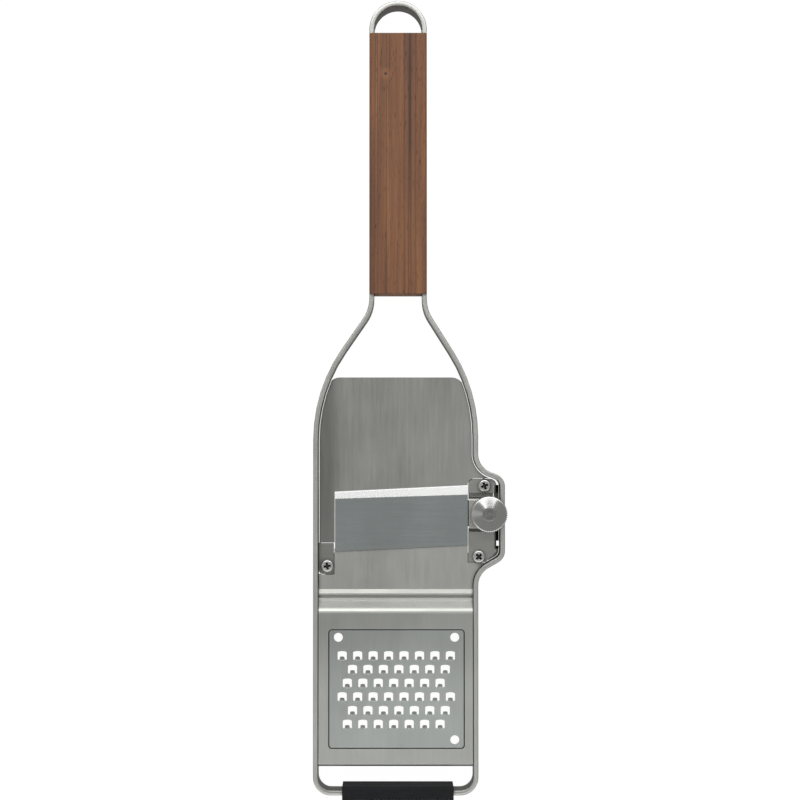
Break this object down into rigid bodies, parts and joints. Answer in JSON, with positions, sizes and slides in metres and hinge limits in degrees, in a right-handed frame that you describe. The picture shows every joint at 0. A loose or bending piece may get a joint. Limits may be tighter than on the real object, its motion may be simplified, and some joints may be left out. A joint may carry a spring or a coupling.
{
  "type": "hand grater and slicer",
  "caption": "Flat two-in-one kitchen paddle with a walnut handle, an adjustable straight slicing blade, a coarse grater plate and a rubber foot.",
  "frame": {"origin": "on the surface that it lies on, under the middle of its box", "axes": "+X to the right of the working side, +Y along the paddle towards the hanging loop, +Z out of the working side"},
  "size_m": [0.0804, 0.3316, 0.0191],
  "materials": {
    "band_steel": "satin bar, brushed along its length",
    "deck_steel": "sheet, brushed along the paddle",
    "grater_steel": "etched satin sheet",
    "blade_steel": "smooth rolled strip with a ground bright edge",
    "turned_steel": "turned, fine rings",
    "walnut": "oiled, straight grain along the handle",
    "rubber": "smooth matt"
  },
  "bodies": {
    "frame": {"frame_band": "band_steel", "handle_front_scale": "walnut", "handle_rear_scale": "walnut", "upper_dowel": "walnut", "lower_dowel": "walnut", "foot_sleeve": "rubber", "feed_deck": "deck_steel", "lower_deck": "deck_steel", "grater_plate": "deck_steel", "grater_blade": "grater_steel", "grater_retainer": "deck_steel", "side_bracket": "deck_steel", "left_bracket": "deck_steel", "upper_right_screw": "turned_steel", "upper_right_sleeve": "turned_steel", "upper_right_lock_nut": "turned_steel", "lower_right_screw": "turned_steel", "lower_right_sleeve": "turned_steel", "lower_right_lock_nut": "turned_steel", "left_screw": "turned_steel", "left_sleeve": "turned_steel", "left_lock_nut": "turned_steel", "stud_nut": "turned_steel"},
    "carriage": {"blade_carrier": "deck_steel", "slicing_blade": "blade_steel"},
    "knob": {"thumb_knob": "turned_steel", "adjusting_stud": "turned_steel", "knob_washer": "turned_steel", "retaining_clip": "turned_steel"}
  },
  "joints": [
    {"name": "blade_lift", "type": "slide", "parent": "frame", "child": "carriage", "axis": [0, 0, 1], "range_m": [0, 0.0021]},
    {"name": "knob_turn", "type": "hinge", "parent": "carriage", "child": "knob", "pos_m": [0.03255, -0.04776, 0.012], "axis": [0, 0, 1], "range_deg": [0, 1080]}
  ],
  "couplings": [
    {"joint": "blade_lift", "follows": "knob_turn", "m_per_rad": 0.0001114}
  ]
}
